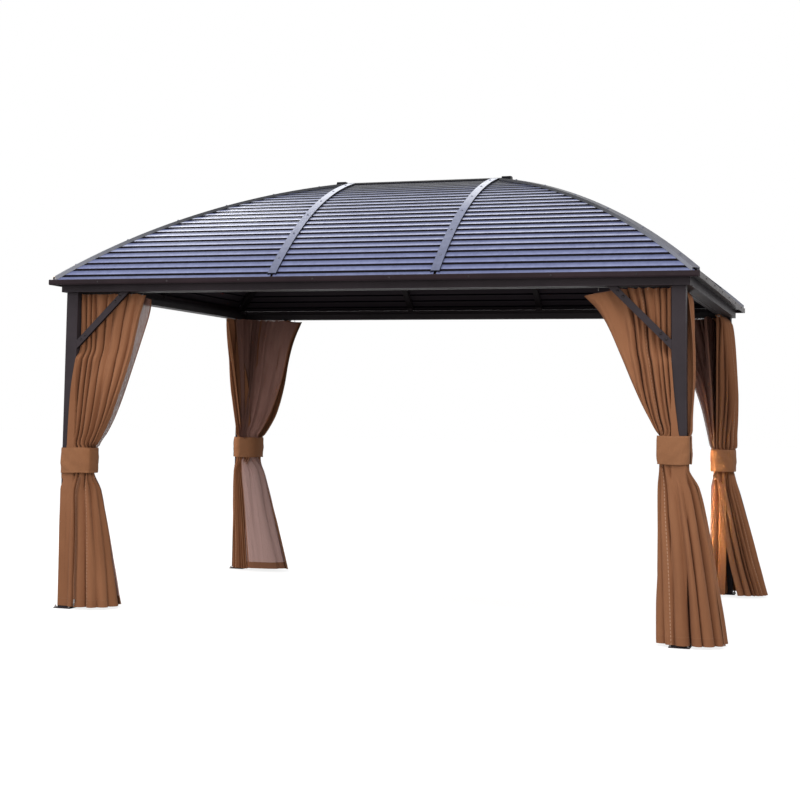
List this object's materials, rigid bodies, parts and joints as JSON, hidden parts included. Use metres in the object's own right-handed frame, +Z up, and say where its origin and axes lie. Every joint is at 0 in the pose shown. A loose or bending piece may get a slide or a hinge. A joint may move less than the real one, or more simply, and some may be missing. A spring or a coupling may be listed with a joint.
{
  "type": "metal gazebo",
  "caption": "Open-sided garden gazebo with slim square posts, a curved hipped metal roof of stepped sheets, and curtains tied back at the corners.",
  "frame": {"origin": "on the floor, under the middle of the whole part; the roof's middle lies 83 mm to the left of it, because the right curtain hems swing out past the roof", "axes": "+X along the long side to the right, +Y to the back, +Z up"},
  "size_m": [4.1266, 2.96, 2.7952],
  "materials": {
    "frame_coat": "charcoal powder coat",
    "rail_metal": "dark anodised",
    "trim_coat": "dark brown powder coat",
    "cap_plastic": "moulded",
    "roof_coat": "blue-grey coat",
    "curtain_cloth": "brown polyester",
    "netting_cloth": "fine mesh"
  },
  "bodies": {
    "root": {"post_front_left": "frame_coat", "post_front_right": "frame_coat", "post_back_left": "frame_coat", "post_back_right": "frame_coat", "beam_front": "frame_coat", "beam_back": "frame_coat", "beam_left": "frame_coat", "beam_right": "frame_coat", "corner_connectors": "frame_coat", "braces_front": "frame_coat", "braces_back": "frame_coat", "ridge_beam": "frame_coat", "hip_rafters": "frame_coat", "rafters_front": "frame_coat", "rafters_back": "frame_coat", "rafters_end": "frame_coat", "curtain_rails": "rail_metal", "eave_trim_front": "trim_coat", "eave_trim_back": "trim_coat", "eave_trim_left": "trim_coat", "eave_trim_right": "trim_coat", "eave_corner_caps": "cap_plastic", "ridge_end_caps": "cap_plastic", "roof_front_left": "roof_coat", "roof_front_middle": "roof_coat", "roof_front_right": "roof_coat", "roof_back_left": "roof_coat", "roof_back_middle": "roof_coat", "roof_back_right": "roof_coat", "roof_left": "roof_coat", "roof_right": "roof_coat", "rib_caps_front": "roof_coat", "rib_caps_back": "roof_coat", "rib_caps_end": "roof_coat", "hip_caps": "roof_coat", "ridge_cap": "roof_coat", "curtain_front_left": "curtain_cloth", "netting_front_left": "netting_cloth", "tie_band_front_left": "curtain_cloth", "curtain_front_right": "curtain_cloth", "netting_front_right": "netting_cloth", "tie_band_front_right": "curtain_cloth", "curtain_back_left": "curtain_cloth", "netting_back_left": "netting_cloth", "tie_band_back_left": "curtain_cloth", "curtain_back_right": "curtain_cloth", "netting_back_right": "netting_cloth", "tie_band_back_right": "curtain_cloth"}
  },
  "joints": []
}
